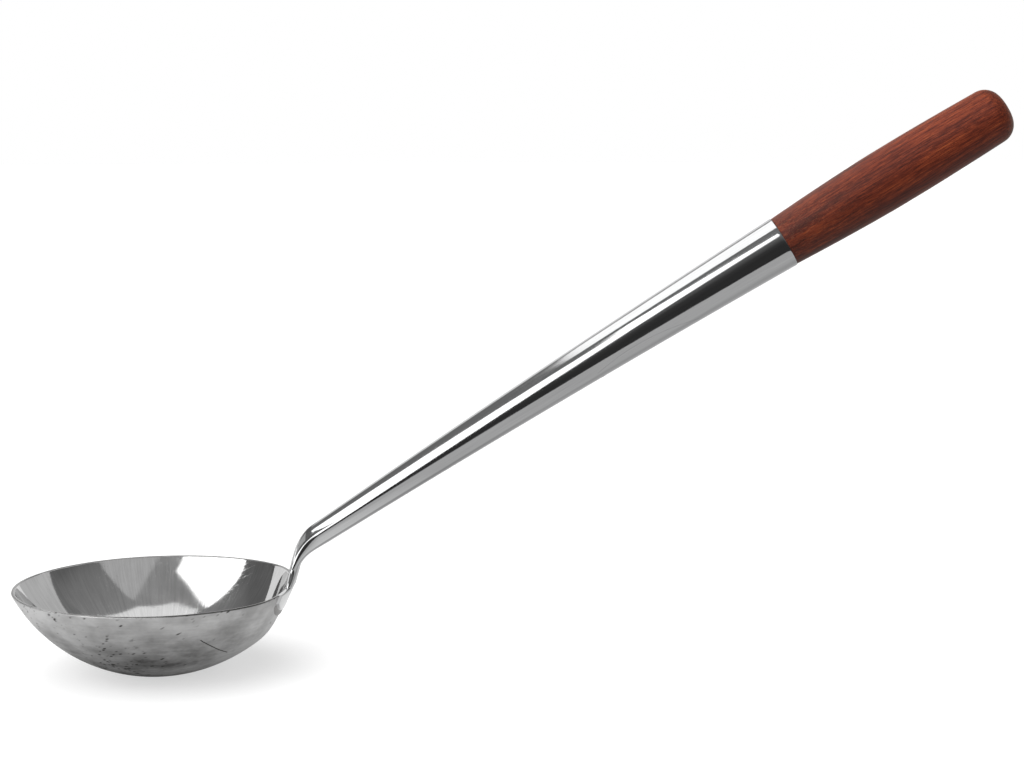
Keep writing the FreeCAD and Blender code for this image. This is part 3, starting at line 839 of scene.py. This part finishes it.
def bradSteel():
    # plain bright nail steel with a hammered, slightly dull crown
    recipe = Recipe(bpy.data.materials.new("bradSteel"))
    cloud = recipe.noise(recipe.objectPlace(), 900.0, 4.0, 0.6)
    metal = recipe.tint(cloud, *[grey(*tone) for tone in brad["tones"]])
    return recipe.surface(Base_Color=metal, Metallic=1.0, Roughness=brad["rough"] + 0.2 * cloud,
                          Normal=recipe.bump(cloud, 0.5, 0.05 * mm))


makePiece("brad_nail", bradShape(), bradSteel(), ["retaining_brad"])
print("brad made")


# the studio: a pale floor, two soft suns, and glowing cards that the camera does not see
studio = {
    "floorTones": (0.44, 0.46),
    "floorGlow": 0.58,
    "floorReach": 30.0,
    "tableHeight": 0.001,
    "topHeight": 0.9,
    "wallPlace": 0.8,
    "wallMiddle": 0.2,
    "cardReach": 3.0,
    "suns": {"topSun": (2.7, 70, (14, -10)), "frontSun": (0.7, 60, (62, -18))},    # power, spread, tilt
    "skyDiffuse": 0.30,
}


def card(name, corners, glow, lights=True):
    # flat glowing card that only reflections see, and matt surfaces too where it lights;
    # glow is one strength, or a function that gives the strength over the card
    mesh = bpy.data.meshes.new(name)
    mesh.from_pydata(corners, [], [tuple(range(len(corners)))])
    recipe = Recipe(bpy.data.materials.new(name))
    tone, strength = (glow(recipe), 1.0) if callable(glow) else ((1, 1, 1, 1), glow)
    look = recipe.node("ShaderNodeEmission", {}, {"Color": tone, "Strength": strength})
    recipe.node("ShaderNodeOutputMaterial", {}, {0: look})
    mesh.materials.append(recipe.owner)
    made = bpy.data.objects.new(name, mesh)
    bpy.context.scene.collection.objects.link(made)
    made.visible_camera = made.visible_shadow = False
    made.visible_diffuse = lights


def level(height, *corners):
    # corners in millimetres, all at one height
    return [(x * mm, y * mm, height * mm) for x, y in corners]


def turned(corners, degrees):
    # the corners turned about the bowl's axis, anticlockwise from above
    spin = Matrix.Rotation(radians(degrees), 3, "Z")
    return [tuple(spin @ Vector(corner)) for corner in corners]


def paleFloor():
    # one flat square, out of sight of every reflection
    recipe = Recipe(bpy.data.materials.new("paleFloor"))
    grain = recipe.noise(recipe.objectPlace(), 3.0, 2.0)
    tone = recipe.tint(grain, *[grey(value) for value in studio["floorTones"]])
    # half of the brightness is its own, so that the shadow stays light
    look = recipe.surface(Base_Color=tone, Roughness=0.9, Specular_IOR_Level=0.0,
                          Emission_Color=grey(studio["floorGlow"]), Emission_Strength=1.0)
    mesh = bpy.data.meshes.new("floor")
    reach = studio["floorReach"]
    mesh.from_pydata([(-reach, -reach, 0), (reach, -reach, 0), (reach, reach, 0), (-reach, reach, 0)],
                     [], [(0, 1, 2, 3)])
    mesh.materials.append(look)
    floor = bpy.data.objects.new("floor", mesh)
    bpy.context.scene.collection.objects.link(floor)
    floor.visible_diffuse = floor.visible_glossy = False


paleFloor()


def tableGlow(recipe):
    # painted reflection of the table: a painted contact shadow under the bowl, pale further out, and a soft
    # painted shadow a little behind the shank
    place = recipe.objectPlace()
    x, y, _ = recipe.parts(place)
    away = recipe.node("ShaderNodeVectorMath", {"operation": "LENGTH"}, {0: place}, output=1)
    behind = y / (0.46 * x + 0.004)
    shadow = recipe.ramp(behind, 0.05, 0.35) * recipe.ramp(behind, 0.9, 1.5, 1.0, 0.0)
    shadow = shadow * recipe.ramp(x, 0.05, 0.08) * recipe.ramp(x, 0.12, 0.22, 1.0, 0.45)
    pale = recipe.ramp(away, 0.016, 0.085, 0.07, 0.88) * recipe.ramp(away, 0.10, 0.16, 1.0, 0.69)
    return pale * (1 - 0.45 * shadow)


def lidGlow(recipe):
    # a grey sheet over the bowl, paler along the line X = -6 mm
    fromLine = (recipe.parts(recipe.objectPlace())[0] + 6 * mm).size()
    return recipe.ramp(fromLine, 0.003, 0.026, 0.34, 0.16)


def stripGlow(recipe):
    # fades out towards the strip's lower edge, where Z - 0.966 X is 0.94
    x, _, z = recipe.parts(recipe.objectPlace())
    return recipe.ramp(z - 0.966 * x, 0.94, 1.13, 0.06, 3.0)


far, wall, middle = studio["cardReach"], studio["wallPlace"], studio["wallMiddle"]
table, top = studio["tableHeight"], studio["topHeight"]
card("greyTable", [(-far, -0.25, table), (far, -0.25, table), (far, 4.0, table), (-far, 4.0, table)],
     tableGlow, False)
card("topBox", [(-0.41, -0.19, top), (-0.30, -0.21, top), (0.06, -0.17, top), (0.06, 0.75, top),
                (-0.41, 0.75, top)], 1.8)
card("leftBox", turned([(-0.7, 0.04, 0.02), (-0.7, -0.9, 0.02), (-0.7, -0.9, 0.96), (-0.7, 0.43, 0.72)], 28),
     2.4)
card("stripBox", [(-0.60, -0.63, 1.24), (-0.27, -1.32, 0.68), (0.02, -1.05, 0.96), (-0.30, -0.90, 1.10)],
     stripGlow)
card("backWall", [(middle, wall, 0.0), (far, wall, 0.0), (far, wall, 0.80), (middle, wall, 0.74)], 0.62, False)
card("paleWall", [(-far, wall, 0.0), (middle, wall, 0.0), (middle, wall, 0.74), (-far, wall, 0.72)], 1.0, False)
# low over the bowl, out of the shank's sight
card("lid", level(77, (-140, -80), (48, -80), (48, 63.5), (4, 64), (-10, 95), (-48, 94), (-62, 72), (-140, 40)),
     lidGlow, False)
card("lidWhite", level(75, (-16, 44), (-95, -2), (-95, -50), (-30, -50), (-10, 18), (-8.5, 24.5), (-11.7, 33)),
     2.4, False)
card("lidGrey", level(75, (-3.3, 36.5), (-3.7, -30), (40, -30), (40, 10), (9, 29)), 0.56, False)
card("lidLens", level(75, (-14.2, 42.3), (-9.3, 35.5), (-4.6, 38.5), (-1.2, 51), (2, 70), (-14.2, 70)),
     1.05, False)
for label, (energy, spread, tilt) in studio["suns"].items():
    sun = bpy.data.objects.new(label, bpy.data.lights.new(label, "SUN"))
    bpy.context.scene.collection.objects.link(sun)
    sun.data.energy = energy
    sun.data.angle = radians(spread)
    sun.rotation_euler = (radians(tilt[0]), radians(tilt[1]), 0)
    sun.visible_glossy = False

world = bpy.data.worlds.new("studio")
bpy.context.scene.world = world
room = Recipe(world)
# white behind the ladle, dim in its reflections, and an even fill on matt surfaces
fromCamera = room.node("ShaderNodeLightPath")
fromGloss = room.node("ShaderNodeLightPath", output=3)
skyHeight = room.parts(room.objectPlace())[2]
dim = room.ramp(skyHeight, -0.10, 0.25, 0.040, 0.060) + room.ramp(skyHeight, 0.15, 0.60, 0.0, 0.17)
sky = fromCamera + (1 - fromCamera) * (fromGloss * dim + (1 - fromGloss) * studio["skyDiffuse"])
room.node("ShaderNodeOutputWorld", {}, {0: room.node("ShaderNodeBackground", {}, {"Color": sky})})
print("stage made")


# the camera, in front of the ladle and a little above it, looking slightly down
view = {
    "place": (0.16286, -0.82718, 0.2195),
    "left": radians(0.9225),        # turned left from looking along +Y
    "down": radians(6.70),
    "roll": radians(-0.196),
    "lens": 70.3,
}
camera = bpy.data.objects.new("camera", bpy.data.cameras.new("camera"))
bpy.context.scene.collection.objects.link(camera)
camera.data.lens = view["lens"]
camera.data.clip_start = 0.01
camera.matrix_world = (Matrix.Translation(view["place"]) @ Matrix.Rotation(view["left"], 4, "Z")
                       @ Matrix.Rotation(radians(90) - view["down"], 4, "X")
                       @ Matrix.Rotation(view["roll"], 4, "Z"))
bpy.context.scene.camera = camera
bpy.context.scene.view_settings.view_transform = "Standard"
